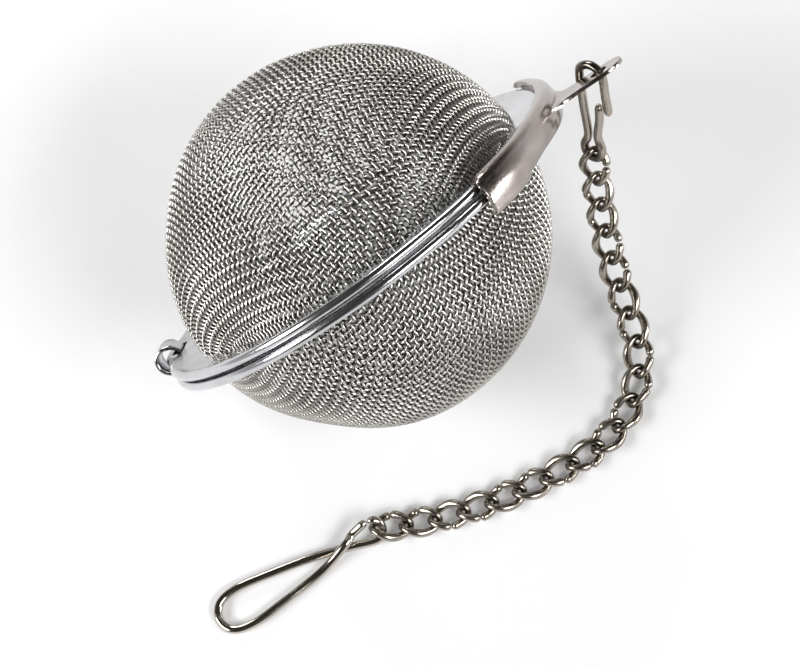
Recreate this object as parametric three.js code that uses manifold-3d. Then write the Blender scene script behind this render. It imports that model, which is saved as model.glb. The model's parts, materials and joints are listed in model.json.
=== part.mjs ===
// Tea infuser: a wire-mesh ball that opens on a strap hinge, with a spring clasp, a curb chain
// and a bent-wire handle. Millimetres, +Z up, standing surface at z = 0.
import * as THREE from "three";
import { mergeVertices } from "three/addons/utils/BufferGeometryUtils.js";
import Module from "manifold-3d";

const wasm = await Module();
wasm.setup();

const DEG = Math.PI / 180;

// Driving dimensions.
const bowlRadius = 25; // outside of the mesh ball
const bowlThickness = 0.5; // woven cloth, two wires thick
const rimRadius = 29.65; // outer edge of both rims
const rimThickness = 1.3;
const sheet = 0.6; // strip steel of the clasp and the hinge strap
const gap = 0.3; // clearance between separate pieces
const chainWire = 1.0;
const linkGap = 0.25; // slack between neighbouring links
const linkPitch = 3.95;
const linkWidth = 4.1;
const linkTwist = 45 * DEG; // each end of a curb link is turned this much
const linkCount = 19;
const handleWire = 1.2;
const claspRise = 16 * DEG; // how far the clasp end lies above the hinge end

// Sizes that follow from them.
const rimBottom = gap / 2;
const rimTop = rimBottom + rimThickness;
const rimMiddle = (rimBottom + rimTop) / 2;
const rimInner = bowlRadius + gap;
const beadRadius = rimThickness / 2;
const linkTip = (linkPitch + chainWire + linkGap) / 2; // wire centre line at a link's end
const linkSide = (linkWidth - chainWire) / 2;
const tipPastPivot = (chainWire + linkGap) / 2; // how far a link's end reaches past its pivot

const rimSegments = 48;
const bowlSegments = 36;
const bowlRows = 9;
const beadSteps = 5; // facets on the rounded edge of a rim
const floorGap = 0.02; // keeps the turned faces of the chain off the table

// The ball lies on the lower rim and the lower bowl: the rim plane leans back by this much.
const beadCentreRadius = rimRadius - beadRadius;
const leanReach = Math.hypot(beadCentreRadius, rimMiddle);
const restLean =
  Math.atan2(rimMiddle, beadCentreRadius) + Math.acos((bowlRadius - beadRadius) / leanReach);

const colours = {
  rim: 0xb9b8b6,
  mesh: 0x8f8d88,
  clasp: 0xb2afab,
  chain: 0x9b978f,
  handle: 0xa7a49d,
};

function steel(colour, roughness) {
  return new THREE.MeshStandardMaterial({ color: colour, metalness: 1, roughness });
}

// three.js geometry to a manifold-3d solid and back, for cuts and joins.
function solid(geometry) {
  const bare = geometry.index ? geometry.toNonIndexed() : geometry.clone();
  bare.deleteAttribute("normal");
  bare.deleteAttribute("uv");
  const merged = mergeVertices(bare, 1e-4);
  return new wasm.Manifold(
    new wasm.Mesh({
      numProp: 3,
      vertProperties: merged.attributes.position.array,
      triVerts: new Uint32Array(merged.index.array),
    }),
  );
}

function geometryOf(shape) {
  const mesh = shape.getMesh();
  const geometry = new THREE.BufferGeometry();
  geometry.setAttribute("position", new THREE.BufferAttribute(mesh.vertProperties, 3));
  geometry.setIndex(new THREE.BufferAttribute(mesh.triVerts, 1));
  const flat = geometry.toNonIndexed();
  flat.computeVertexNormals();
  return flat;
}

function named(name, geometry, material) {
  const mesh = new THREE.Mesh(geometry, material);
  mesh.name = name;
  return mesh;
}

// A box given by its lowest and highest corners.
function boxBetween(low, high) {
  const size = new THREE.Vector3().subVectors(high, low);
  const centre = new THREE.Vector3().addVectors(low, high).multiplyScalar(0.5);
  return new THREE.BoxGeometry(size.x, size.y, size.z).translate(centre.x, centre.y, centre.z);
}

// A round wire swept along a curve, with flat ends.
function wire(curve, diameter, steps, sides) {
  const section = new THREE.Shape();
  for (let i = 0; i < sides; i++) {
    const angle = (i / sides) * 2 * Math.PI;
    const x = (diameter / 2) * Math.cos(angle);
    const y = (diameter / 2) * Math.sin(angle);
    if (i === 0) section.moveTo(x, y);
    else section.lineTo(x, y);
  }
  return new THREE.ExtrudeGeometry(section, { steps, extrudePath: curve, curveSegments: 1 });
}

// ---- Ball, in its own frame: +X from the hinge to the clasp, +Z out of the upper half ----

// The rims' facets are turned so that one flat lies at the lowest point.
const lowestAzimuth = Math.PI / 2 + claspRise;
const facetPhase = lowestAzimuth - Math.PI / rimSegments;

// A revolved closed profile of radius and height, about +Z.
function revolved(profile, segments) {
  return new THREE.LatheGeometry(profile, segments).rotateX(Math.PI / 2).rotateZ(facetPhase);
}

// Rolled ring with a rounded outer edge, between two heights.
function rimRing(low, high) {
  const middle = (low + high) / 2;
  const profile = [new THREE.Vector2(rimInner, low)];
  for (let i = 0; i <= beadSteps; i++) {
    const angle = (i / beadSteps) * Math.PI - Math.PI / 2;
    profile.push(
      new THREE.Vector2(
        beadCentreRadius + beadRadius * Math.cos(angle),
        middle + beadRadius * Math.sin(angle),
      ),
    );
  }
  profile.push(new THREE.Vector2(rimInner, high), new THREE.Vector2(rimInner, low));
  return revolved(profile, rimSegments);
}

// Half ball of wire cloth, open towards the rim plane; side is +1 for the upper half.
function bowl(side) {
  const profile = [];
  const lip = rimBottom / bowlRadius;
  for (let i = 0; i <= bowlRows; i++) {
    const angle = Math.PI / 2 - (i / bowlRows) * (Math.PI / 2 - lip);
    profile.push(
      new THREE.Vector2(bowlRadius * Math.cos(angle), side * bowlRadius * Math.sin(angle)),
    );
  }
  const inner = bowlRadius - bowlThickness;
  for (let i = bowlRows; i >= 0; i--) {
    const angle = Math.PI / 2 - (i / bowlRows) * (Math.PI / 2 - lip);
    profile.push(new THREE.Vector2(inner * Math.cos(angle), side * inner * Math.sin(angle)));
  }
  profile[0].x = 0;
  profile[profile.length - 1].x = 0;
  if (side > 0) profile.reverse();
  return revolved(profile, bowlSegments);
}

// Strap hinge: the upper rim's rounded bar turns inside a strap curled up from the lower rim.
const hingeX = -29.9;
const strapWidth = 3.4;
const strapInner = beadRadius + gap;
const strapOuter = strapInner + sheet;
const strapEnd = 10 * DEG; // where the strap stops, inside the slot
const slotWidth = strapWidth + 2 * gap;
const slotInnerX = hingeX + strapOuter + gap;
const neckLength = 2; // flat foot of the strap, from the curl to the lower ring
const tabWidth = 6.6;
const tabLap = 1; // how far the upper rim's tab runs into its ring

function hingeStrap() {
  const strap = new THREE.Shape();
  const foot = 1.5 * Math.PI;
  strap.absarc(0, 0, strapOuter, strapEnd, foot, false);
  strap.absarc(0, 0, strapInner, foot, strapEnd, true);
  strap.closePath();
  return new THREE.ExtrudeGeometry(strap, {
    depth: strapWidth,
    bevelEnabled: false,
    curveSegments: 14,
  })
    .translate(0, 0, -strapWidth / 2)
    .rotateX(Math.PI / 2)
    .translate(hingeX, 0, rimMiddle);
}

function lowerRim() {
  const overlap = 0.05; // into the curl, so that the two join
  const neck = boxBetween(
    new THREE.Vector3(hingeX - overlap, -strapWidth / 2, rimMiddle - strapOuter),
    new THREE.Vector3(hingeX + neckLength, strapWidth / 2, -rimBottom),
  );
  const ring = solid(rimRing(-rimTop, -rimBottom));
  return geometryOf(ring.add(solid(neck)).add(solid(hingeStrap())));
}

function upperRim() {
  const barSides = 16;
  const bar = new THREE.CylinderGeometry(beadRadius, beadRadius, tabWidth, barSides);
  bar.translate(hingeX, 0, rimMiddle);
  const tab = boxBetween(
    new THREE.Vector3(hingeX, -tabWidth / 2, rimBottom),
    new THREE.Vector3(-rimInner - tabLap, tabWidth / 2, rimTop),
  );
  const slot = boxBetween(
    new THREE.Vector3(hingeX + beadRadius, -slotWidth / 2, -rimTop),
    new THREE.Vector3(slotInnerX, slotWidth / 2, 2 * rimTop),
  );
  const ring = solid(rimRing(rimBottom, rimTop));
  return geometryOf(ring.add(solid(tab)).add(solid(bar)).subtract(solid(slot)));
}

// Clasp: a crescent wall outside both rims, claws under the lower rim, a tongue with a hole.
const claspOuterX = 31.4; // wall's outer face in the middle
const claspRadius = 29.4; // of that face, so the wall closes in towards its ends
const claspCentreX = claspOuterX - claspRadius;
const claspHalfAngle = 42 * DEG;
const clawStart = 33 * DEG;
const claspTop = 1.8;
const claspBottom = -2.1;
const clawPlay = 0.4; // between the lower rim and the claws' lips
const clawTop = -rimTop - clawPlay;
const clawBottom = clawTop - sheet;
const clawEdgeX = 21.8; // straight inner edge of the lips, and the line the clasp turns on
const tongueWidth = 4.5;
const tongueTipX = 41.4;
const holeX = 38.0;
const holeRadius = 1.2;

// Curved strip between two angles about the clasp's own centre, from low to high.
function claspStrip(from, to, low, high) {
  const strip = new THREE.Shape();
  strip.absarc(claspCentreX, 0, claspRadius, from, to, false);
  strip.absarc(claspCentreX, 0, claspRadius - sheet, to, from, true);
  strip.closePath();
  return new THREE.ExtrudeGeometry(strip, {
    depth: high - low,
    bevelEnabled: false,
    curveSegments: 16,
  }).translate(0, 0, low);
}

// Flat lip that runs from the wall to the straight inner edge, under the lower rim.
function clawLip(side) {
  const middle = claspRadius - sheet / 2;
  const near = new THREE.Vector2(middle * Math.cos(clawStart), middle * Math.sin(clawStart));
  const far = new THREE.Vector2(
    middle * Math.cos(claspHalfAngle),
    middle * Math.sin(claspHalfAngle),
  );
  const lip = new THREE.Shape();
  lip.moveTo(clawEdgeX, side * near.y);
  lip.lineTo(claspCentreX + near.x, side * near.y);
  lip.lineTo(claspCentreX + far.x, side * far.y);
  lip.lineTo(clawEdgeX, side * far.y);
  lip.closePath();
  return new THREE.ExtrudeGeometry(lip, { depth: sheet, bevelEnabled: false }).translate(
    0,
    0,
    clawBottom,
  );
}

function tongue() {
  const half = tongueWidth / 2;
  const outline = new THREE.Shape();
  outline.moveTo(claspOuterX - sheet / 2, -half);
  outline.lineTo(tongueTipX - half, -half);
  outline.absarc(tongueTipX - half, 0, half, -Math.PI / 2, Math.PI / 2, false);
  outline.lineTo(claspOuterX - sheet / 2, half);
  outline.closePath();
  const hole = new THREE.Path();
  hole.absarc(holeX, 0, holeRadius, 0, 2 * Math.PI, true);
  outline.holes.push(hole);
  return new THREE.ExtrudeGeometry(outline, {
    depth: sheet,
    bevelEnabled: false,
    curveSegments: 10,
  }).translate(0, 0, -sheet / 2);
}

function clasp() {
  let shape = solid(claspStrip(-claspHalfAngle, claspHalfAngle, claspBottom, claspTop));
  for (const side of [-1, 1]) {
    const from = side > 0 ? clawStart : -claspHalfAngle;
    const to = side > 0 ? claspHalfAngle : -clawStart;
    shape = shape.add(solid(claspStrip(from, to, clawBottom, claspTop)));
    shape = shape.add(solid(clawLip(side)));
  }
  return geometryOf(shape.add(solid(tongue())));
}

// ---- Chain pieces: each starts at its upstream pivot and runs along its own +X ----

const wireSlit = 0.3; // between a link's two cut ends

// Curb link: an oval whose ends are turned opposite ways, so that links lie flat side by side.
class CurbLink extends THREE.Curve {
  getPoint(t, target = new THREE.Vector3()) {
    const cut = wireSlit / 2 / linkSide; // half the slit, as an angle
    const angle = Math.PI / 2 + cut + t * (2 * Math.PI - 2 * cut);
    const along = Math.cos(angle);
    const across = linkSide * Math.sin(angle);
    const turn = along * linkTwist;
    return target.set(
      linkPitch / 2 + linkTip * along,
      across * Math.cos(turn),
      across * Math.sin(turn),
    );
  }
}

const chainSides = 6; // of the wire's section

function curbLink() {
  const linkSteps = 22;
  return wire(new CurbLink(), chainWire, linkSteps, chainSides);
}

// Hook link: its top arc goes round the strip of tongue beside the hole, its ends overlap on
// one side, and its waist closes a small eye at the lower end.
const hookArc = 1.75; // radius of the top arc's centre line, about the upstream pivot
const hookTip = 13.4;
const hookReach = hookTip - tipPastPivot;
const hookSteps = 52;

function hookLink() {
  const diagonal = hookArc * Math.SQRT1_2;
  const route = [
    [5.4, 2.5],
    [2.6, 2.05],
    [0, hookArc],
    [-diagonal, diagonal],
    [-hookArc, 0],
    [-diagonal, -diagonal],
    [0, -hookArc],
    [5, -1.3],
    [9.6, -0.72],
    [11.6, -1.3],
    [13.0, -0.95],
    [hookTip, 0],
    [13.0, 0.95],
    [11.6, 1.3],
    [9.6, 0.72],
    [6.6, 1.05],
    [4.2, 1.0],
  ];
  const points = route.map(([x, y]) => new THREE.Vector3(x, y, 0));
  return wire(new THREE.CatmullRomCurve3(points), chainWire, hookSteps, chainSides);
}

// Handle: one wire with a small eye, a crossed neck and a teardrop finger loop, lying flat.
const handleEye = 1.6; // radius of the eye's centre line
const eyeRoll = -45 * DEG; // the eye is turned out of the loop's plane, to take the last link
const handleLength = 24.5; // from the upstream pivot to the loop's end
const neckX = 4.8; // where the wire crosses itself
const neckGap = 0.15; // between the crossing wires
const handleSteps = 72;
const handleSides = 8;
const eyeHeight = handleEye * Math.sin(-eyeRoll) + handleWire / 2 + 2 * floorGap;
const handleTipX = -(handleWire + linkGap) / 2;

function handle() {
  const eyeX = handleTipX + handleEye;
  const eyePoint = (degrees) => {
    const across = handleEye * Math.sin(degrees * DEG);
    const x = eyeX - handleEye * Math.cos(degrees * DEG);
    return [x, across * Math.cos(eyeRoll), across * Math.sin(eyeRoll)];
  };
  const low = handleWire / 2 - eyeHeight;
  const over = low + handleWire + neckGap;
  const route = [
    eyePoint(-75),
    eyePoint(-40),
    eyePoint(0),
    eyePoint(45),
    eyePoint(95),
    [neckX, 0, low],
    [neckX + 4.5, -1.15, low],
    [neckX + 10.5, -2.15, low],
    [neckX + 15.5, -2.75, low],
    [handleLength - 1.1, -2.1, low],
    [handleLength, 0, low],
    [handleLength - 1.1, 2.1, low],
    [neckX + 15.5, 2.75, low],
    [neckX + 10.5, 2.15, low],
    [neckX + 4.5, 1.15, low],
    [neckX, 0, over],
    eyePoint(-105),
  ];
  const points = route.map(([x, y, z]) => new THREE.Vector3(x, y, z));
  return wire(new THREE.CatmullRomCurve3(points), handleWire, handleSteps, handleSides);
}

// Height of a link's middle when it lies flat: half its thickness as twisted.
function linkRest() {
  const steepest = Math.PI / 4;
  const rise = linkSide * Math.sin(steepest) * Math.sin(linkTwist * Math.cos(steepest));
  return rise + chainWire / 2 + floorGap;
}

// ---- Chain route: it hangs from the tongue in a catenary, then lies in a long curve ----

const hangLength = 50.4; // from the tongue to where the chain lies down
const tongueHeading = -148 * DEG; // plan direction of the chain as it leaves the tongue
const hangHeading = -107 * DEG; // and where its bend begins
const bendStart = 37.4; // along the chain
const bendEnd = 58;
const lieHeading = -185 * DEG; // after the bend
const lieTurn = -0.92 * DEG; // further turn per millimetre
const handleHeading = 172 * DEG;

// Plan direction of the chain at arc length s.
function headingAt(s) {
  if (s < bendStart) return tongueHeading + (s / bendStart) * (hangHeading - tongueHeading);
  const turned = Math.min(1, (s - bendStart) / (bendEnd - bendStart));
  return hangHeading + turned * (lieHeading - hangHeading) + Math.max(0, s - bendEnd) * lieTurn;
}

// Slope of a catenary that touches down at hangLength, at arc length s from its upper end.
function slopeAt(s, scale) {
  return Math.atan2(Math.max(0, hangLength - s), scale);
}

const pieceLengths = [hookReach, ...Array(linkCount).fill(linkPitch)];

// Total fall of the chain's straight pieces for a catenary scale.
function fall(scale) {
  let s = 0;
  let total = 0;
  for (const length of pieceLengths) {
    total += length * Math.sin(slopeAt(s + length / 2, scale));
    s += length;
  }
  return total;
}

// The scale for which the chain falls by the wanted height, by halving.
function catenaryScale(drop) {
  const halvings = 60;
  let low = 5;
  let high = 200;
  for (let i = 0; i < halvings; i++) {
    const middle = (low + high) / 2;
    if (fall(middle) > drop) low = middle;
    else high = middle;
  }
  return (low + high) / 2;
}

// ---- Assembly ----

const infuser = new THREE.Group();
const ball = new THREE.Group();
infuser.add(ball);
ball.rotation.set(restLean - Math.PI / 2, 0, -claspRise);
ball.position.z = bowlRadius;

const rimSteel = steel(colours.rim, 0.22);
const cloth = steel(colours.mesh, 0.4);
ball.add(named("lower_rim", lowerRim(), rimSteel));
ball.add(named("lower_mesh", bowl(-1), cloth));
ball.add(named("upper_rim", upperRim(), rimSteel));
ball.add(named("upper_mesh", bowl(1), cloth));
ball.add(named("clasp", clasp(), steel(colours.clasp, 0.25)));
infuser.updateMatrixWorld(true);

// The hook link goes round the strip between the hole and the tongue's near long edge.
const stripDirection = new THREE.Vector3(-0.64, 0.77, 0).normalize();
const stripEnd = tongueWidth / 2 / stripDirection.y;
const stripCentre = stripDirection.clone().multiplyScalar((holeRadius + stripEnd) / 2);
stripCentre.x += holeX;

const start = ball.localToWorld(stripCentre.clone());
const scale = catenaryScale(start.z - linkRest());

// Places a piece with its upstream pivot at a point, along a heading and a downward slope.
function placeAlong(mesh, point, heading, slope) {
  const turn = new THREE.Matrix4().makeRotationZ(heading);
  turn.multiply(new THREE.Matrix4().makeRotationY(slope));
  mesh.position.copy(point);
  mesh.quaternion.setFromRotationMatrix(turn);
  infuser.add(mesh);
}

const chainSteel = steel(colours.chain, 0.3);
const lastRise = Math.asin((eyeHeight - linkRest()) / linkPitch); // up to the handle's eye
const pivot = start.clone();
let run = 0;
for (let i = 0; i <= linkCount; i++) {
  const length = pieceLengths[i];
  const heading = headingAt(run + length / 2);
  const slope = i === linkCount ? -lastRise : slopeAt(run + length / 2, scale);
  const name = i === 0 ? "hook_link" : "link_" + String(i).padStart(2, "0");
  const mesh = named(name, i === 0 ? hookLink() : curbLink(), chainSteel);
  placeAlong(mesh, pivot, heading, slope);
  if (i === 0) {
    // The hook's flat plane holds the hole's axis, so that it passes through the hole.
    const along = new THREE.Vector3(1, 0, 0).applyQuaternion(mesh.quaternion);
    const holeAxis = new THREE.Vector3(0, 0, 1).transformDirection(ball.matrixWorld);
    const normal = new THREE.Vector3().crossVectors(holeAxis, along).normalize();
    const across = new THREE.Vector3().crossVectors(normal, along);
    mesh.quaternion.setFromRotationMatrix(new THREE.Matrix4().makeBasis(along, across, normal));
  }
  pivot.add(new THREE.Vector3(length, 0, 0).applyQuaternion(mesh.quaternion));
  run += length;
}
placeAlong(named("handle", handle(), steel(colours.handle, 0.28)), pivot, handleHeading, 0);

// The part's origin is under the middle of its bounding box.
infuser.updateMatrixWorld(true);
const bounds = new THREE.Box3().setFromObject(infuser, true);
const middle = bounds.getCenter(new THREE.Vector3());
infuser.position.set(-middle.x, -middle.y, -bounds.min.z);

const part = new THREE.Group();
part.add(infuser);

export default part;
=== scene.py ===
"""Tea infuser: woven-wire ball, pressed rims, spring clasp, curb chain and bent-wire handle.

Lengths are in millimetres until a mesh is made, and metres after that.
"""
import json
import math

import bmesh
import bpy
import numpy as np
from mathutils import Matrix, Vector

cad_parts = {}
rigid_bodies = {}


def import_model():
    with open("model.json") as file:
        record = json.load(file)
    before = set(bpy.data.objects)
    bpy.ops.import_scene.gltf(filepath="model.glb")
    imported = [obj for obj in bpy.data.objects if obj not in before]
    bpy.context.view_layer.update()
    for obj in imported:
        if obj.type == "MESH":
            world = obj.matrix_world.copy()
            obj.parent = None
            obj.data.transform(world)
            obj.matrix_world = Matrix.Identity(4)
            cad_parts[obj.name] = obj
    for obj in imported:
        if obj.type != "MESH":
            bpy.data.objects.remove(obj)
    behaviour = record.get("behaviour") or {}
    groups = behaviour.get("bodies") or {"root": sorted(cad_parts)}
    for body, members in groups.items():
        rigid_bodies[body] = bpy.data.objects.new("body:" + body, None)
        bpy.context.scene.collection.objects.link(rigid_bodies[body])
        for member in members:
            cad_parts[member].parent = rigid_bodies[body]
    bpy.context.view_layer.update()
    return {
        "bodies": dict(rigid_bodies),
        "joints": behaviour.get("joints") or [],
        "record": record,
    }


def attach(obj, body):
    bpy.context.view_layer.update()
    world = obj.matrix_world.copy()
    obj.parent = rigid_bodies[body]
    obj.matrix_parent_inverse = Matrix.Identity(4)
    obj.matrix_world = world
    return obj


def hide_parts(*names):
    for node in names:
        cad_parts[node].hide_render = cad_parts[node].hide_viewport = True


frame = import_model()

MM = 0.001

# ---- Driving dimensions, in millimetres ----
BALL_RADIUS = 25.0
CLOTH_PITCH = 0.9
CLOTH_WIRE = 0.34
CLOTH_SIDES = 5
CLOTH_EDGE = 0.55  # height above the rim plane where the cloth ends, inside its rim
INNER_SHADE = 0.3  # painted shade: share of full darkness given to the side of the wires that faces into the ball
RIM_RADIUS = 29.65
RIM_THICKNESS = 1.3
RIM_GAP = 0.3
RIM_INNER = 24.65
SHEET = 0.55
CHAIN_WIRE = 1.0
HOOK_WIRE = 1.15
LINK_PITCH = 3.95
LINK_WIDTH = 4.1
LINK_SLACK = 0.25
LINK_TWIST = math.radians(45)
HANDLE_WIRE = 1.2
HINGE_X = -29.9
CURL_RADIUS = 1.75
STRAP_WIDTH = 3.5
FLAT_SHARE = 0.27  # of the pitch, how far a cloth wire runs level on each side of a crossing
TONGUE_POINT = (33.8, 0.0, 0.3)  # where the record's tongue_face mount is, in the ball's frame

RIM_LOW = RIM_GAP / 2
RIM_TOP = RIM_LOW + RIM_THICKNESS
BEAD = RIM_THICKNESS / 2
HINGE_Z = (RIM_LOW + RIM_TOP) / 2


# ---- Frames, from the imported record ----
def unit(vector):
    vector = np.array(vector, float)
    return vector / np.linalg.norm(vector)


joint_of = {j["child"]: j for j in frame["joints"]}
mounts = {m["name"]: m for m in frame["record"]["mounts"]}
chain = ["hook_link"] + sorted(b for b in frame["bodies"] if b.startswith("link_")) + ["handle"]


def ball_frame():
    """The ball's centre and its axes as rows: hinge to clasp, sideways, out of the upper half."""
    y = unit(joint_of["clasp"]["axis"])
    z = unit(mounts["tongue_face"]["axis"])
    axes = np.stack([np.cross(y, z), y, z])
    centre = np.array(mounts["tongue_face"]["pos_m"]) - np.array(TONGUE_POINT) * MM @ axes
    return centre, axes


def chain_frame(name):
    """A chain piece's upstream pivot and its axes as rows, with X towards the next pivot."""
    joint = joint_of[name]
    pivot = np.array(joint["pos_m"])
    axis = unit(joint["axis"])
    if name == "handle":
        return pivot, np.stack([np.cross(axis, (0, 0, 1)), axis, (0, 0, 1)])
    x = unit(np.array(joint_of[chain[chain.index(name) + 1]]["pos_m"]) - pivot)
    if joint["name"].endswith("_lift"):
        return pivot, np.stack([x, axis, np.cross(x, axis)])
    return pivot, np.stack([x, np.cross(axis, x), axis])


# ---- Mesh helpers ----
def make_piece(name, parts, place):
    """One mesh object from (vertices, faces, lay, wear and painted shade) parts, placed by (origin, axes).
    """
    origin, axes = place
    vertices = np.concatenate([p[0] for p in parts]) * MM @ axes + origin
    lay = np.concatenate([p[2] for p in parts])
    wear_and_shade = np.concatenate([p[3] for p in parts])
    faces = []
    offset = 0
    for points, part_faces, _, _ in parts:
        faces.extend([[i + offset for i in f] for f in part_faces])
        offset += len(points)
    mesh = bpy.data.meshes.new(name)
    mesh.from_pydata(vertices.tolist(), [], faces)
    mesh.attributes.new("lay", "FLOAT_VECTOR", "POINT").data.foreach_set("vector", lay.ravel())
    # Per-point darkness that paints both wear and shade.
    mesh.attributes.new("wear_and_shade", "FLOAT", "POINT").data.foreach_set("value", wear_and_shade)
    mesh.shade_smooth()
    piece = bpy.data.objects.new(name, mesh)
    bpy.context.scene.collection.objects.link(piece)
    return piece


def grid_faces(rows, columns, wrap=False):
    """Quads between neighbouring rows of a grid; wrap joins the last column to the first."""
    faces = []
    last = columns if wrap else columns - 1
    for i in range(rows - 1):
        for j in range(last):
            k = (j + 1) % columns
            faces.append([i * columns + j, i * columns + k, (i + 1) * columns + k, (i + 1) * columns + j])
    return faces


def tangents(path):
    steps = np.gradient(path, axis=0)
    return steps / np.linalg.norm(steps, axis=1)[:, None]


def carried_normals(path, first):
    """Normals carried along a path without twisting, from a first guess."""
    along = tangents(path)
    normals = np.zeros_like(path)
    normal = np.array(first, float)
    for i, direction in enumerate(along):
        normal = normal - (normal @ direction) * direction
        normal = normal / np.linalg.norm(normal)
        normals[i] = normal
    return normals


def tube(path, radius, sides, normals, wear_and_shade=None, seed=0.0):
    """A round wire along a path. radius is one number or one for each point."""
    path = np.asarray(path, float)
    count = len(path)
    along = tangents(path)
    across = np.cross(along, normals)
    angles = np.arange(sides) / sides * 2 * math.pi
    radii = np.broadcast_to(np.asarray(radius, float), (count,))[:, None, None]
    ring = normals[:, None, :] * np.cos(angles)[None, :, None]
    ring = ring + across[:, None, :] * np.sin(angles)[None, :, None]
    vertices = (path[:, None, :] + ring * radii).reshape(-1, 3)
    faces = grid_faces(count, sides, wrap=True)
    faces.append(list(range(sides))[::-1])
    faces.append([(count - 1) * sides + j for j in range(sides)])
    run = np.concatenate([[0.0], np.cumsum(np.linalg.norm(np.diff(path, axis=0), axis=1))])
    lay = np.zeros((count, sides, 3))
    lay[:, :, 0] = run[:, None]
    lay[:, :, 1] = np.cos(angles)[None, :] * 0.5
    lay[:, :, 2] = np.sin(angles)[None, :] * 0.5 + seed
    worn_and_shaded = np.zeros(count) if wear_and_shade is None else np.asarray(wear_and_shade, float)
    return vertices, faces, lay.reshape(-1, 3), np.repeat(worn_and_shaded, sides)


def smooth_route(points, steps):
    """Uniform Catmull-Rom curve through points, cut again into even steps."""
    points = np.asarray(points, float)
    count = len(points)
    fine_steps = 24
    fine = []
    for i in range(count - 1):
        before = points[i - 1] if i > 0 else 2 * points[0] - points[1]
        after = points[i + 2] if i + 2 < count else 2 * points[-1] - points[-2]
        p = [before, points[i], points[i + 1], after]
        for t in np.arange(fine_steps) / fine_steps:
            fine.append(
                0.5 * (2 * p[1] + (p[2] - p[0]) * t
                       + (2 * p[0] - 5 * p[1] + 4 * p[2] - p[3]) * t ** 2
                       + (3 * p[1] - p[0] - 3 * p[2] + p[3]) * t ** 3)
            )
    fine.append(points[-1])
    fine = np.array(fine)
    run = np.concatenate([[0.0], np.cumsum(np.linalg.norm(np.diff(fine, axis=0), axis=1))])
    even = np.linspace(0, run[-1], steps + 1)
    return np.stack([np.interp(even, run, fine[:, k]) for k in range(3)], axis=1)


def rounded_ends(count, radius, steps=4):
    """Radii along a wire whose cut ends are rounded off."""
    radii = np.full(count, radius)
    for i in range(steps):
        share = math.sqrt(1 - (1 - (i + 0.35) / steps) ** 2)
        radii[i] = min(radii[i], radius * share)
        radii[-1 - i] = min(radii[-1 - i], radius * share)
    return radii


def apply_modifiers(piece):
    bpy.context.view_layer.update()
    graph = bpy.context.evaluated_depsgraph_get()
    mesh = bpy.data.meshes.new_from_object(piece.evaluated_get(graph))
    piece.modifiers.clear()
    piece.data = mesh


def carve(piece, cutter):
    """Cuts the cutter's shape out of the piece and removes the cutter."""
    cut = piece.modifiers.new("cut", "BOOLEAN")
    cut.operation = "DIFFERENCE"
    cut.object = cutter
    apply_modifiers(piece)
    bpy.data.objects.remove(cutter)


def soften(piece, width, angle=40):
    """Rounds the piece's sharp edges by a width in millimetres."""
    bevel = piece.modifiers.new("bevel", "BEVEL")
    bevel.width = width * MM
    bevel.segments = 2
    bevel.limit_method = "ANGLE"
    bevel.angle_limit = math.radians(angle)
    bevel.harden_normals = False
    apply_modifiers(piece)


def shade_by_angle(piece, angle=50):
    """Smooth shading with hard edges kept where faces meet at more than an angle."""
    mesh = piece.data
    mesh.shade_smooth()
    shaped = bmesh.new()
    shaped.from_mesh(mesh)
    for edge in shaped.edges:
        edge.smooth = edge.calc_face_angle(0) < math.radians(angle)
    shaped.to_mesh(mesh)
    shaped.free()


def step(x, low, high):
    """Smooth step from 0 to 1."""
    t = np.clip((np.asarray(x, float) - low) / (high - low), 0, 1)
    return t * t * (3 - 2 * t)


# ---- Woven wire cloth ----
def cloth_net(spacing, count):
    """Quarter of a square net laid on a unit sphere from its pole, with every side the same length."""
    net = np.full((count, count, 3), np.nan)
    for i in range(count):
        net[i, 0] = (math.sin(i * spacing), 0, math.cos(i * spacing))
        net[0, i] = (0, math.sin(i * spacing), math.cos(i * spacing))
    for i in range(1, count):
        for j in range(1, count):
            a = net[i - 1, j]
            b = net[i, j - 1]
            cosine = a @ b
            scale = math.cos(spacing) / (1 + cosine) if cosine > -1 else np.nan
            rest = 1 - 2 * scale ** 2 * (1 + cosine)
            if not rest > 0:
                continue
            outward = np.cross(b, a)
            size = np.linalg.norm(outward)
            if size < 1e-9:
                continue
            side = outward / size * math.sqrt(rest)
            away = a + b - 2 * net[i - 1, j - 1]
            net[i, j] = scale * (a + b) + (side if side @ away > 0 else -side)
    return net


RIDGE_HEIGHT = 28  # degrees above the rim plane
RIDGE_RISE = 0.55
RIDGE_SPREAD = 6.5
TROUGH_HEIGHT = 44
TROUGH_DEPTH = 0.35
TROUGH_SPREAD = 9
FRONT_SPREAD = 55  # degrees round the bowl from its front over which the ridge fades

# The direction, spread in radians and depth of each dent; a negative depth swells outwards.
DENTS = (
    ((-0.62, -0.45, 0.64), 0.35, 0.75),
    ((0.5, -0.62, 0.6), 0.3, -0.3),
    ((0.1, 0.8, 0.6), 0.4, 0.4),
)


def bowl_radius(direction, ridge):
    """Radius of the pressed bowl in a direction: a sphere with a ridge and the dents of handling."""
    radius = np.full(len(direction), BALL_RADIUS - CLOTH_WIRE)
    for towards, spread, depth in DENTS:
        apart = np.arccos(np.clip(direction @ unit(towards), -1, 1))
        radius = radius - depth * np.exp(-(apart / spread) ** 2) * step(direction[:, 2], 0.03, 0.3)
    height = np.degrees(np.arcsin(np.clip(direction[:, 2], -1, 1)))
    round_bowl = np.degrees(np.arctan2(-direction[:, 1], direction[:, 0]))
    front = np.exp(-((round_bowl - 90) / FRONT_SPREAD) ** 2)
    rise = RIDGE_RISE * np.exp(-((height - RIDGE_HEIGHT) / RIDGE_SPREAD) ** 2)
    fall = TROUGH_DEPTH * np.exp(-((height - TROUGH_HEIGHT) / TROUGH_SPREAD) ** 2)
    return radius + ridge * front * (rise - fall)


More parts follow.
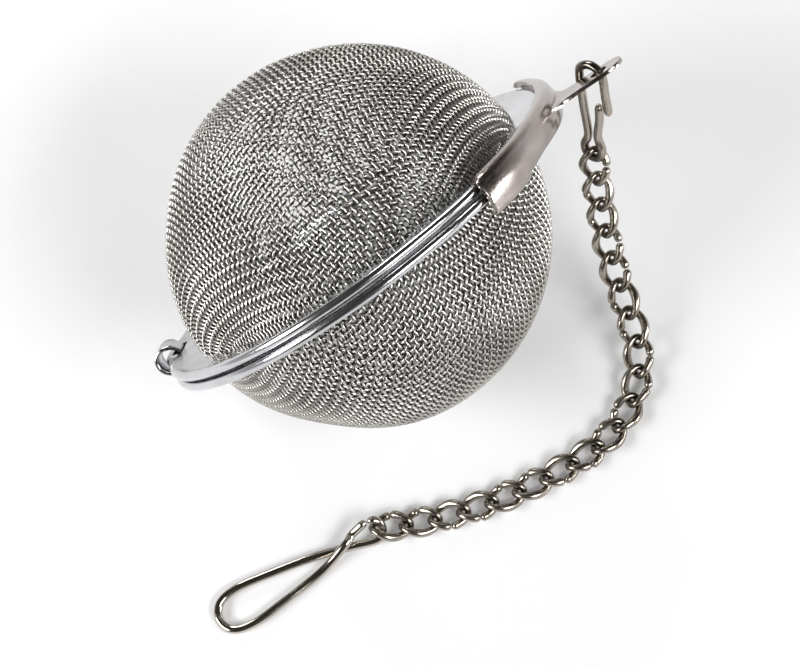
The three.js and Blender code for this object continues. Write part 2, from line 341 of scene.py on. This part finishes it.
def cloth_wires(family, turn, edge, ridge):
    """The wires of one family of the cloth, as tubes, in a frame whose +Z is the bowl's pole."""
    spacing = CLOTH_PITCH / BALL_RADIUS
    count = int(math.pi / 2 / spacing) + 3
    net = cloth_net(spacing, count)
    wires = []
    lift = CLOTH_WIRE / 2
    turned = np.array([[math.cos(turn), math.sin(turn), 0], [-math.sin(turn), math.cos(turn), 0], [0, 0, 1]])
    for line in range(-count + 1, count):
        nodes = net[:, abs(line)] if family == 0 else net[abs(line), :]
        held = [k for k in range(count) if not np.isnan(nodes[k]).any() and nodes[k][2] > edge]
        if len(held) < 2:
            continue
        reach = len(held) - 1
        beyond = nodes[reach + 1] if reach + 1 < count and not np.isnan(nodes[reach + 1]).any() else None
        points = []
        heights = []
        for k in range(-reach, reach + 1):
            here = mirrored(nodes[abs(k)], k, line, family)
            over = 1 if (k + line + family) % 2 == 0 else -1
            for shift in (-FLAT_SHARE, FLAT_SHARE):
                near = abs(k + int(math.copysign(1, shift)))
                near_node = nodes[near] if near <= reach else beyond
                if near_node is None:
                    continue
                neighbour = mirrored(near_node, k + shift * 4, line, family)
                mixed = unit(here * (1 - abs(shift)) + neighbour * abs(shift))
                if mixed[2] < edge:
                    continue
                points.append(mixed)
                heights.append(over * lift)
        if beyond is not None:
            for end in (0, -1):
                sign = -1 if end == 0 else 1
                outer = mirrored(beyond, sign, line, family)
                inner = points[end]
                share = (inner[2] - edge) / max(inner[2] - outer[2], 1e-6)
                tip = unit(inner + (outer - inner) * min(max(share, 0), 1))
                points.insert(0 if end == 0 else len(points), tip)
                heights.insert(0 if end == 0 else len(heights), 0.0)
        directions = np.array(points)
        heights = np.array(heights)
        directions = directions @ turned
        path = directions * (bowl_radius(directions, ridge) + heights)[:, None]
        # Painted darkening in the valleys, where a wire dips under the one it crosses: partly oxide, partly
        # painted shade.
        valley_oxide_and_shade = 0.5 - 0.5 * heights / lift
        seed = line * 0.37
        vertices, faces, lay, wear_and_shade = tube(path, CLOTH_WIRE / 2, CLOTH_SIDES, directions, valley_oxide_and_shade, seed)
        # Painted shade on the side of each wire that faces into the ball.
        inner = np.cos(np.arange(CLOTH_SIDES) / CLOTH_SIDES * 2 * math.pi) < 0
        oxide_and_shade = np.maximum(wear_and_shade, INNER_SHADE * np.tile(inner, len(path)))
        wires.append((vertices, faces, lay, oxide_and_shade))
    return wires


def mirrored(node, k, line, family):
    """A node of the quarter net in the quarter that the wire and its place along it say."""
    x_sign = k if family == 0 else line
    y_sign = line if family == 0 else k
    return np.array([math.copysign(node[0], x_sign), math.copysign(node[1], y_sign), node[2]])


def cloth_bowl(half, side, turn, ridge):
    """Both wire families of one bowl; side is +1 for the upper half."""
    centre, axes = ball_frame()
    axes = axes * np.array([1, 1, side])[:, None]
    edge = CLOTH_EDGE / BALL_RADIUS
    pieces = []
    for family, word in enumerate(("warp", "weft")):
        parts = cloth_wires(family, turn, edge, ridge)
        if side < 0:
            parts = [(v, [f[::-1] for f in faces], lay, wear_and_shade) for v, faces, lay, wear_and_shade in parts]
        piece = make_piece(half + "_cloth_" + word, parts, (centre, axes))
        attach(piece, half + "_half")
        pieces.append(piece)
    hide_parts(half + "_mesh")
    return pieces


# ---- Rims ----
LOBE_REACH = 3.4  # along the rim, from the middle of the hinge to where the lobe dies out
LOBE_INNER = 27.2  # radius at which the flange starts to stretch out into the lobe


def rim_profile():
    """Section of a rim as (radius, height): turned-in lip, flat flange and rolled outer bead."""
    points = [(RIM_INNER + 0.1, RIM_LOW)]
    for angle in range(180, 80, -15):
        a = math.radians(angle)
        points.append((RIM_INNER + 0.35 + 0.35 * math.cos(a), 0.75 + 0.35 * math.sin(a)))
    points += [(25.8, 1.06), (26.8, 1.04), (27.7, 1.06), (28.2, 1.16)]
    centre = RIM_RADIUS - BEAD
    for angle in range(115, -91, -12):
        a = math.radians(angle)
        points.append((centre + BEAD * math.cos(a), HINGE_Z + BEAD * math.sin(a)))
    points += [(28.4, RIM_LOW + 0.02), (28.1, RIM_LOW + 0.14), (26.5, RIM_LOW + 0.14)]
    return np.array(points)


def rim_ring(side, lobe):
    """Lathed ring; lobe is how far its bead swells out at the hinge."""
    turns = 288
    profile = rim_profile()
    count = len(profile)
    angles = np.arange(turns + 1) / turns * 2 * math.pi
    swell = lobe * np.exp(-(((angles - math.pi) * RIM_RADIUS) / LOBE_REACH) ** 4)
    share = np.clip((profile[:, 0] - LOBE_INNER) / (RIM_RADIUS - BEAD - LOBE_INNER), 0, 1)
    radius = profile[None, :, 0] + swell[:, None] * share[None, :]
    wave = 0.02 * np.sin(angles * 5 + side) + 0.015 * np.sin(angles * 11 + 2 * side)
    height = (profile[None, :, 1] + wave[:, None]) * side
    vertices = np.stack(
        [radius * np.cos(angles)[:, None], radius * np.sin(angles)[:, None], height], axis=2
    ).reshape(-1, 3)
    faces = []
    for i in range(turns):
        for j in range(count):
            k = (j + 1) % count
            n = (i + 1) % turns
            quad = [i * count + j, i * count + k, n * count + k, n * count + j]
            faces.append(quad if side < 0 else quad[::-1])
    keep = turns * count
    lay = np.zeros((turns + 1, count, 3))
    lay[:, :, 0] = angles[:, None] * RIM_RADIUS
    lay[:, :, 1] = np.cumsum(np.linalg.norm(np.diff(profile, axis=0, prepend=profile[:1]), axis=1))
    lay[:, :, 2] = side * 3.0
    wear_and_shade = np.zeros((turns + 1, count))
    return vertices[:keep], faces, lay.reshape(-1, 3)[:keep], wear_and_shade.ravel()[:keep]


def block(low, high):
    """A plain block, used only to cut with."""
    xs, ys, zs = zip(low, high)
    corners = np.array([[x, y, z] for x in xs for y in ys for z in zs])
    faces = [[0, 1, 3, 2], [4, 6, 7, 5], [0, 4, 5, 1], [2, 3, 7, 6], [0, 2, 6, 4], [1, 5, 7, 3]]
    return corners, faces, np.zeros((8, 3)), np.zeros(8)


def strip(centre_line, width, thickness, seed=0.0, taper=None):
    """A flat strap of sheet along a line in the X-Z plane, as wide as width across Y."""
    line = np.asarray(centre_line, float)
    along = np.gradient(line, axis=0)
    along = along / np.linalg.norm(along, axis=1)[:, None]
    normal = np.stack([-along[:, 1], along[:, 0]], axis=1)
    half = width / 2
    corner = 0.12
    section = []
    for y, h in ((-half, -1), (-half + corner, -1), (half - corner, -1), (half, -1),
                 (half, 1), (half - corner, 1), (-half + corner, 1), (-half, 1)):
        inset = 0.6 if abs(y) == half else 1.0
        section.append((y, h * inset))
    count = len(section)
    vertices = np.zeros((len(line), count, 3))
    lay = np.zeros((len(line), count, 3))
    run = np.concatenate([[0.0], np.cumsum(np.linalg.norm(np.diff(line, axis=0), axis=1))])
    narrow = np.ones(len(line)) if taper is None else taper
    for j, (y, h) in enumerate(section):
        vertices[:, j, 0] = line[:, 0] + normal[:, 0] * h * thickness / 2
        vertices[:, j, 1] = y * narrow
        vertices[:, j, 2] = line[:, 1] + normal[:, 1] * h * thickness / 2
        lay[:, j] = np.stack([run, np.full(len(line), y), np.full(len(line), seed + h)], axis=1)
    faces = grid_faces(len(line), count, wrap=True)
    faces.append(list(range(count))[::-1])
    faces.append([(len(line) - 1) * count + j for j in range(count)])
    return vertices.reshape(-1, 3), faces, lay.reshape(-1, 3), np.zeros(len(line) * count)


def arc(centre, radius, start, end, count):
    angles = np.radians(np.linspace(start, end, count))
    return np.stack([centre[0] + radius * np.cos(angles), centre[1] + radius * np.sin(angles)], axis=1)


def hinge_strap():
    """Strap that rises through the upper rim's slot, curls over its bar and joins the lower rim."""
    curl = arc((HINGE_X - 0.2, HINGE_Z), CURL_RADIUS, 4, 255, 40)
    foot = np.array([[HINGE_X + 0.7, -0.78], [HINGE_X + 1.6, -0.8], [HINGE_X + 2.6, -0.8]])
    line = np.concatenate([curl, foot])
    ends = np.minimum(1, 0.6 + 0.4 * step(np.arange(len(line)), 0, 14))
    return strip(line, STRAP_WIDTH, SHEET, seed=9.0, taper=ends)


def rims():
    place = ball_frame()
    upper = make_piece("upper_rim_ring", [rim_ring(1, -HINGE_X - (RIM_RADIUS - BEAD))], place)
    slot_low = (HINGE_X + BEAD + 0.02, -2.0, -1)
    slot_high = (HINGE_X + CURL_RADIUS + 0.5, 2.0, 3)
    carve(upper, make_piece("slot_cutter", [block(slot_low, slot_high)], place))
    shade_by_angle(upper)
    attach(upper, "upper_half")
    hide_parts("upper_rim")
    lower = make_piece("lower_rim_ring", [rim_ring(-1, 0.0), hinge_strap()], place)
    shade_by_angle(lower)
    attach(lower, "lower_half")
    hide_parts("lower_rim")
    return [upper, lower]


# ---- Clasp ----
CLASP_X = 31.4
CLASP_RADIUS = 29.4
TONGUE_SHEET = 0.5
CLASP_END = 41.5  # degrees either side of its middle
CLASP_MIDDLE = -5.0  # degrees from the tongue to the middle of the wall, which is not bent quite evenly
CLAW_START = 31.5
CLAW_EDGE = 21.8
CLAW_FOLD = 0.5  # radius of the fold under the rim
CLASP_TOP = 1.95
CLASP_BOTTOM = -1.75
BOTTOM_DROP = 0.75  # how much lower the wall reaches at its ends
LIP_REACH = 1.6  # of the lip over the upper rim, in the middle
LIP_LOSS = 0.7  # how much shorter it is at the ends
CLASP_CORNER = 0.8  # radius of the bend from lip to wall
CLASP_STATIONS = 113
END_SPAN = 2.5  # degrees over which the lip droops at each end
END_DROOP = 0.5
WALL_BULGE = 0.22
WALL_LEAN = 0.3  # how far the wall's lower edge draws in
TONGUE_TIP = 41.4
TONGUE_HALF = 2.25
HOLE_X = 38
HOLE_RADIUS = 1.2
HOLE_SIDES = 40


def clasp_wall(angle):
    """Section of the clasp's wall at an angle, as (radius, height) from the lip to the lower edge."""
    size = abs(angle) / CLASP_END
    lip = LIP_REACH - LIP_LOSS * size ** 2
    outer = CLASP_RADIUS - SHEET / 2
    bottom = CLASP_BOTTOM - BOTTOM_DROP * float(step(size, 0.35, 0.8))
    bend = CLASP_CORNER
    points = [(outer - lip, CLASP_TOP - 0.02), (outer - (lip + bend) / 2, CLASP_TOP + 0.02)]
    for turn in range(90, -1, -15):
        a = math.radians(turn)
        points.append((outer - bend + bend * math.cos(a), CLASP_TOP - bend + bend * math.sin(a)))
    for share in np.arange(1, 9) / 8:
        bulge = WALL_BULGE * math.sin(math.pi * share) - WALL_LEAN * share ** 2
        points.append((outer + bulge, (CLASP_TOP - bend) * (1 - share) + bottom * share))
    return points


def clasp_shell():
    """The wall over its whole arc and the two claws folded under the lower rim."""
    angles = np.linspace(-CLASP_END, CLASP_END, CLASP_STATIONS)
    centre = CLASP_X - CLASP_RADIUS
    sections = [clasp_wall(a) for a in angles]
    count = len(sections[0])
    vertices = []
    for angle, section in zip(angles, sections):
        a = math.radians(angle + CLASP_MIDDLE)
        end = float(step(abs(angle), CLASP_END - END_SPAN, CLASP_END))
        for radius, height in section:
            height = height - end * END_DROOP * float(step(height, 0.5, CLASP_TOP))
            vertices.append((centre + radius * math.cos(a), radius * math.sin(a), height))
    faces = grid_faces(len(angles), count)
    claw_rows = 9
    for side in (-1, 1):
        picked = [i for i, a in enumerate(angles) if (a + CLASP_MIDDLE) * side >= CLAW_START]
        start = len(vertices)
        for i in picked:
            edge = np.array(vertices[i * count + count - 1])
            a = math.radians(angles[i] + CLASP_MIDDLE)
            outward = np.array((math.cos(a), math.sin(a), 0))
            for row in range(claw_rows):
                if row < 5:
                    turn = math.radians(90 * row / 4)
                    point = edge - outward * CLAW_FOLD * (1 - math.cos(turn))
                    point[2] = edge[2] - CLAW_FOLD * math.sin(turn)
                else:
                    under = edge - outward * CLAW_FOLD
                    reach = (row - 4) / (claw_rows - 5)
                    point = np.array((
                        under[0] + (CLAW_EDGE - under[0]) * reach,
                        under[1],
                        edge[2] - CLAW_FOLD + 0.25 * reach,
                    ))
                vertices.append(tuple(point))
        for q in range(len(picked) - 1):
            for row in range(claw_rows - 1):
                a = start + q * claw_rows + row
                quad = [a, a + 1, a + claw_rows + 1, a + claw_rows]
                faces.append(quad)
    vertices = np.array(vertices)
    around = np.arctan2(vertices[:, 1], vertices[:, 0]) * RIM_RADIUS
    lay = np.stack([around, vertices[:, 2], vertices[:, 0] * 0.3], axis=1)
    return vertices, faces, lay, np.zeros(len(vertices))


def tongue_sheet():
    """The tongue as a surface: it leaves the wall high up, dips and runs out flat to a round tip."""
    root = arc((CLASP_X + 0.75, 1.5), 1.5, 205, 270, 8)
    line = np.concatenate([root, [[x, 0.0] for x in np.linspace(CLASP_X + 1.3, TONGUE_TIP, 44)]])
    half = TONGUE_HALF
    vertices = []
    across = 15
    for x, z in line:
        flare = 1.5 * math.exp(-((x - CLASP_X) / 0.8) ** 2) + 0.5 * math.exp(-((x - CLASP_X) / 2.2) ** 2)
        tip = max(x - (TONGUE_TIP - half), 0)
        width = math.sqrt(max(half ** 2 - tip ** 2, 0.0004)) + flare
        for k in range(across):
            y = width * (2 * k / (across - 1) - 1)
            wall = 0.012 * y ** 2 * math.exp(-((x - CLASP_X) / 1.2) ** 2)
            vertices.append((x - wall, y, z + 0.02 * (y / half) ** 2))
    vertices = np.array(vertices)
    lay = np.stack([vertices[:, 0], vertices[:, 1] * 3, vertices[:, 2] + 20], axis=1)
    return vertices, grid_faces(len(line), across), lay, np.zeros(len(vertices))


def thicken(piece, thickness):
    shell = piece.modifiers.new("sheet", "SOLIDIFY")
    shell.thickness = thickness * MM
    shell.offset = 0
    shell.use_quality_normals = True
    apply_modifiers(piece)


def merge_close(piece, distance=0.002):
    shaped = bmesh.new()
    shaped.from_mesh(piece.data)
    bmesh.ops.remove_doubles(shaped, verts=shaped.verts, dist=distance * MM)
    bmesh.ops.recalc_face_normals(shaped, faces=shaped.faces)
    shaped.to_mesh(piece.data)
    shaped.free()


def hole_punch():
    """A round bar through the tongue, used only to cut its hole."""
    angles = np.arange(HOLE_SIDES) / HOLE_SIDES * 2 * math.pi
    x = HOLE_X + HOLE_RADIUS * np.cos(angles)
    y = HOLE_RADIUS * np.sin(angles)
    ends = [np.stack([x, y, np.full(HOLE_SIDES, z)], axis=1) for z in (-2, 2)]
    count = 2 * HOLE_SIDES
    faces = grid_faces(2, HOLE_SIDES, wrap=True)
    faces.append(list(range(HOLE_SIDES))[::-1])
    faces.append(list(range(HOLE_SIDES, count)))
    return np.concatenate(ends), faces, np.zeros((count, 3)), np.zeros(count)


def clasp():
    place = ball_frame()
    shell = make_piece("clasp_shell", [clasp_shell()], place)
    merge_close(shell)
    thicken(shell, SHEET)
    soften(shell, 0.14)
    shade_by_angle(shell, 60)
    tongue = make_piece("clasp_tongue", [tongue_sheet()], place)
    merge_close(tongue)
    thicken(tongue, TONGUE_SHEET)
    carve(tongue, make_piece("hole_cutter", [hole_punch()], place))
    soften(tongue, 0.06, 55)
    shade_by_angle(tongue, 60)
    for piece in (shell, tongue):
        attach(piece, "clasp")
    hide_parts("clasp")
    return [shell, tongue]


# ---- Chain and handle ----
CHAIN_SIDES = 14
HANDLE_SIDES = 16
LINK_NECK = 0.90  # share of the wire's thickness left at a link's ends, where its neighbours turn
LINK_SWELL = 0.28  # how much more it has at the middle of its sides


def curb_path(steps=60):
    """Centre line of a twisted link, from one side of the slit where its wire ends meet to the other."""
    slit = 0.05
    side = (LINK_WIDTH - CHAIN_WIRE) / 2
    tip = (LINK_PITCH + CHAIN_WIRE + LINK_SLACK) / 2
    cut = slit / side
    angles = math.pi / 2 + np.linspace(cut, 2 * math.pi - cut, steps)
    turn = np.cos(angles) * LINK_TWIST
    across = side * np.sin(angles)
    along = LINK_PITCH / 2 + tip * np.cos(angles)
    return np.stack([along, across * np.cos(turn), across * np.sin(turn)], axis=1)


def curb_link(name, seed):
    path = curb_path()
    normals = carried_normals(path, (0, 1, 0.2))
    ends = np.abs(np.cos(np.linspace(0, 2 * math.pi, len(path)) + math.pi / 2))
    # Darker at the link's ends, where its neighbours rub and shade falls between them: partly wear, partly
    # painted shade.
    wear_and_shade = step(ends, 0.55, 1.0)
    uneven = 0.01 * np.sin(np.linspace(0, 9, len(path)) + seed)
    swell = LINK_NECK + LINK_SWELL * (1 - ends ** 2) ** 3 + uneven
    radii = rounded_ends(len(path), CHAIN_WIRE / 2, 2) * swell
    part = tube(path, radii, CHAIN_SIDES, normals, wear_and_shade, seed * 2.3)
    piece = make_piece(name + "_wire", [part], chain_frame(name))
    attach(piece, name)
    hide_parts(name)
    return piece


def hook_link():
    reach = 1.75
    diagonal = reach * math.sqrt(0.5)
    tip = 13.4
    route = [
        (5.4, 2.5, 0), (2.6, 2.05, 0), (0, reach, 0), (-diagonal, diagonal, 0), (-reach, 0, 0),
        (-diagonal, -diagonal, 0), (0, -reach, 0), (5, -1.3, 0), (9.6, -0.72, 0), (11.6, -1.3, 0),
        (13.0, -0.95, 0), (tip, 0, 0), (13.0, 0.95, 0), (11.6, 1.3, 0), (9.6, 0.72, 0),
        (6.6, 1.05, 0), (4.2, 1.0, 0),
    ]
    path = smooth_route(route, 150)
    normals = np.tile((0.0, 0.0, 1.0), (len(path), 1))
    # Darker at the hook's two bends, where it meets its neighbours: partly wear, partly painted shade.
    wear_and_shade = step(path[:, 0], 11.5, 13.5) + step(-path[:, 0], 0.2, 1.6)
    part = tube(path, rounded_ends(len(path), HOOK_WIRE / 2), CHAIN_SIDES, normals, wear_and_shade, 5.0)
    piece = make_piece("hook_link_wire", [part], chain_frame("hook_link"))
    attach(piece, "hook_link")
    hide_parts("hook_link")
    return piece


def handle():
    eye = 1.6
    roll = math.radians(-45)
    neck = 4.8
    length = 24.5
    rest = 0.02
    tip = -(HANDLE_WIRE + LINK_SLACK) / 2
    height = eye * math.sin(-roll) + HANDLE_WIRE / 2 + 2 * rest
    low = HANDLE_WIRE / 2 - height
    over = low + HANDLE_WIRE + 0.15

    def eye_point(degrees):
        a = math.radians(degrees)
        across = eye * math.sin(a)
        return (tip + eye - eye * math.cos(a), across * math.cos(roll), across * math.sin(roll))

    route = [
        eye_point(-78), eye_point(-40), eye_point(0), eye_point(45), eye_point(95),
        (neck, 0, low), (neck + 4.5, -1.15, low), (neck + 10.5, -2.15, low), (neck + 15.5, -2.75, low),
        (length - 1.1, -2.1, low), (length, 0, low), (length - 1.1, 2.1, low),
        (neck + 15.5, 2.75, low), (neck + 10.5, 2.15, low), (neck + 4.5, 1.15, low),
        (neck, 0, over), (neck - 1.5, -0.85, over - 0.1), eye_point(-88),
    ]
    path = smooth_route(route, 260)
    normals = carried_normals(path, (0, 0, 1))
    # Darker round the eye, where the last link rubs and shade falls: partly wear, partly painted shade.
    wear_and_shade = 0.8 * step(-path[:, 0], -0.6, 0.5)
    part = tube(path, rounded_ends(len(path), HANDLE_WIRE / 2), HANDLE_SIDES, normals, wear_and_shade, 7.0)
    piece = make_piece("handle_wire", [part], chain_frame("handle"))
    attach(piece, "handle")
    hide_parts("handle")
    return piece


# ---- Materials ----
def node(tree, kind, **values):
    made = tree.nodes.new(kind)
    for key, value in values.items():
        setattr(made, key, value)
    return made


def steel(name, light, dark, rough, rough_spread, marks, mark_depth,
          worn_and_shaded=(0.1, 0.09, 0.08), wear_and_shade_share=0.5, blotches=260.0):
    """Steel with long drawing marks along the metal, blotches of tone, and dark spots that paint both wear
    and shade.
    """
    material = bpy.data.materials.new(name)
    material.use_nodes = True
    tree = material.node_tree
    link = tree.links.new
    shader = tree.nodes["Principled BSDF"]
    shader.inputs["Metallic"].default_value = 1.0
    lay = node(tree, "ShaderNodeAttribute", attribute_name="lay")
    wear_and_shade = node(tree, "ShaderNodeAttribute", attribute_name="wear_and_shade")
    place = node(tree, "ShaderNodeTexCoord")

    blotch = node(tree, "ShaderNodeTexNoise")
    blotch.inputs["Scale"].default_value = blotches
    blotch.inputs["Detail"].default_value = 4.0
    link(place.outputs["Object"], blotch.inputs["Vector"])
    tone = node(tree, "ShaderNodeValToRGB")
    tone.color_ramp.elements[0].position = 0.3
    tone.color_ramp.elements[0].color = (*dark, 1)
    tone.color_ramp.elements[1].position = 0.68
    tone.color_ramp.elements[1].color = (*light, 1)
    link(blotch.outputs["Fac"], tone.inputs["Fac"])

    # Mixes towards the worn colour by the per-point darkness: partly wear, partly painted shade.
    share = node(tree, "ShaderNodeMath", operation="MULTIPLY")
    share.inputs[1].default_value = wear_and_shade_share
    link(wear_and_shade.outputs["Fac"], share.inputs[0])
    wear_and_shade_mix = node(tree, "ShaderNodeMix", data_type="RGBA")
    link(share.outputs["Value"], wear_and_shade_mix.inputs["Factor"])
    link(tone.outputs["Color"], wear_and_shade_mix.inputs["A"])
    wear_and_shade_mix.inputs["B"].default_value = (*worn_and_shaded, 1)
    link(wear_and_shade_mix.outputs["Result"], shader.inputs["Base Color"])

    stretch = node(tree, "ShaderNodeMapping")
    stretch.inputs["Scale"].default_value = marks
    link(lay.outputs["Vector"], stretch.inputs["Vector"])
    drawn = node(tree, "ShaderNodeTexNoise")
    drawn.inputs["Scale"].default_value = 1.0
    drawn.inputs["Detail"].default_value = 5.0
    drawn.inputs["Roughness"].default_value = 0.6
    link(stretch.outputs["Vector"], drawn.inputs["Vector"])
    gloss = node(tree, "ShaderNodeMapRange")
    gloss.inputs["From Min"].default_value = 0.3
    gloss.inputs["From Max"].default_value = 0.7
    gloss.inputs["To Min"].default_value = rough
    gloss.inputs["To Max"].default_value = rough + rough_spread
    link(drawn.outputs["Fac"], gloss.inputs["Value"])
    link(gloss.outputs["Result"], shader.inputs["Roughness"])
    bump = node(tree, "ShaderNodeBump")
    bump.inputs["Strength"].default_value = mark_depth
    bump.inputs["Distance"].default_value = 0.02 * MM
    link(drawn.outputs["Fac"], bump.inputs["Height"])
    link(bump.outputs["Normal"], shader.inputs["Normal"])
    return material


def paint(pieces, material):
    for piece in pieces:
        piece.data.materials.clear()
        piece.data.materials.append(material)


# ---- Build ----
upper_cloth = cloth_bowl("upper", 1, math.radians(20), 1.0)
lower_cloth = cloth_bowl("lower", -1, math.radians(-5), 0.35)
rim_pieces = rims()
clasp_pieces = clasp()
links = [curb_link(name, k) for k, name in enumerate(chain[1:-1])]
hook = hook_link()
loop = handle()

# The woven wire's near-black worn colour paints oxide and shade in the valleys of the weave, and shade on
# the inner side of the wires.
paint(
    upper_cloth + lower_cloth,
    steel("woven_wire", (0.78, 0.76, 0.72), (0.40, 0.38, 0.35), 0.24, 0.06, (0.6, 3, 3), 0.05,
          worn_and_shaded=(0.025, 0.022, 0.02), wear_and_shade_share=0.9, blotches=75.0),
)
paint(
    rim_pieces,
    steel("rolled_rim_steel", (0.60, 0.61, 0.63), (0.49, 0.49, 0.50), 0.12, 0.10, (0.25, 9, 9), 0.25),
)
paint(
    clasp_pieces,
    steel("pressed_clasp_steel", (0.40, 0.36, 0.34), (0.30, 0.265, 0.245), 0.13, 0.12, (0.5, 5, 5), 0.3),
)
# The chain's worn colour paints both wear and shade where the links meet.
paint(
    links + [hook],
    steel("tumbled_chain_steel", (0.42, 0.38, 0.33), (0.28, 0.25, 0.21), 0.17, 0.12, (0.8, 3, 3), 0.2,
          worn_and_shaded=(0.06, 0.05, 0.04), wear_and_shade_share=0.6),
)
# The handle's worn colour paints both wear and shade round the eye.
paint(
    [loop],
    steel("drawn_handle_steel", (0.56, 0.52, 0.46), (0.42, 0.385, 0.34), 0.10, 0.08, (0.4, 4, 4), 0.2,
          worn_and_shaded=(0.12, 0.10, 0.09), wear_and_shade_share=0.5),
)


# ---- Studio, in metres ----
LAMP_AIM = (0, 0, 0.02)


def floor():
    size = 1.6
    mesh = bpy.data.meshes.new("floor")
    corners = [(-size, -size, 0), (size, -size, 0), (size, size, 0), (-size, size, 0)]
    mesh.from_pydata(corners, [], [(0, 1, 2, 3)])
    piece = bpy.data.objects.new("floor", mesh)
    bpy.context.scene.collection.objects.link(piece)
    material = bpy.data.materials.new("pale_floor")
    material.use_nodes = True
    shader = material.node_tree.nodes["Principled BSDF"]
    shader.inputs["Base Color"].default_value = (0.6, 0.6, 0.605, 1)
    shader.inputs["Roughness"].default_value = 0.9
    shader.inputs["Emission Color"].default_value = (1, 1, 1, 1)
    shader.inputs["Emission Strength"].default_value = 0.14
    mesh.materials.append(material)


def softbox(name, place, size, power):
    light = bpy.data.lights.new(name, "AREA")
    light.shape = "RECTANGLE"
    light.size = size[0]
    light.size_y = size[1]
    light.energy = power
    lamp = bpy.data.objects.new(name, light)
    bpy.context.scene.collection.objects.link(lamp)
    lamp.location = place
    lamp.rotation_euler = (Vector(LAMP_AIM) - Vector(place)).to_track_quat("-Z", "Y").to_euler()


def world():
    sky = bpy.data.worlds.new("studio")
    bpy.context.scene.world = sky
    sky.use_nodes = True
    tree = sky.node_tree
    background = tree.nodes["Background"]
    place = node(tree, "ShaderNodeTexCoord")
    split = node(tree, "ShaderNodeSeparateXYZ")
    tree.links.new(place.outputs["Generated"], split.inputs["Vector"])
    ramp = node(tree, "ShaderNodeValToRGB")
    ramp.color_ramp.elements[0].position = 0.0
    ramp.color_ramp.elements[0].color = (0.66, 0.67, 0.7, 1)
    ramp.color_ramp.elements[1].position = 0.3
    ramp.color_ramp.elements[1].color = (0.05, 0.045, 0.04, 1)
    middle = ramp.color_ramp.elements.new(0.13)
    middle.color = (0.5, 0.49, 0.48, 1)
    tree.links.new(split.outputs["Z"], ramp.inputs["Fac"])
    tree.links.new(ramp.outputs["Color"], background.inputs["Color"])
    background.inputs["Strength"].default_value = 1.0


def camera():
    """Looks at the ball from 66 degrees above its -Y side, turned so that +X rises to the right."""
    distance = 0.406
    elevation = math.radians(66.39)
    roll = math.radians(37.3)
    lens = 141.9
    aim_right = 5.42
    aim_down = 12.32
    centre, _ = ball_frame()
    towards = np.array((0, -math.cos(elevation), math.sin(elevation)))
    level_up = np.array((0, math.sin(elevation), math.cos(elevation)))
    right = math.cos(roll) * np.array((1.0, 0, 0)) - math.sin(roll) * level_up
    up = math.sin(roll) * np.array((1.0, 0, 0)) + math.cos(roll) * level_up
    place = centre + towards * distance
    aim = centre + right * aim_right * MM - up * aim_down * MM
    back = unit(place - aim)
    side = unit(np.cross(up, back))
    top = np.cross(back, side)
    data = bpy.data.cameras.new("camera")
    data.lens = lens
    data.sensor_width = 36
    data.clip_start = 0.01
    shot = bpy.data.objects.new("camera", data)
    bpy.context.scene.collection.objects.link(shot)
    rows = [[side[i], top[i], back[i], place[i]] for i in range(3)] + [[0, 0, 0, 1]]
    shot.matrix_world = Matrix(rows)
    bpy.context.scene.camera = shot


floor()
world()
camera()
softbox("key", (0.4, -0.9, 0.85), (0.8, 0.4), 16)
softbox("left_fill", (-0.95, 0.2, 0.7), (0.8, 0.4), 16)
softbox("back_strip", (0.3, 0.95, 0.6), (0.7, 0.2), 8)
softbox("low_right", (0.82, -0.56, 0.14), (0.4, 0.1), 4)
bpy.context.scene.view_settings.view_transform = "Standard"
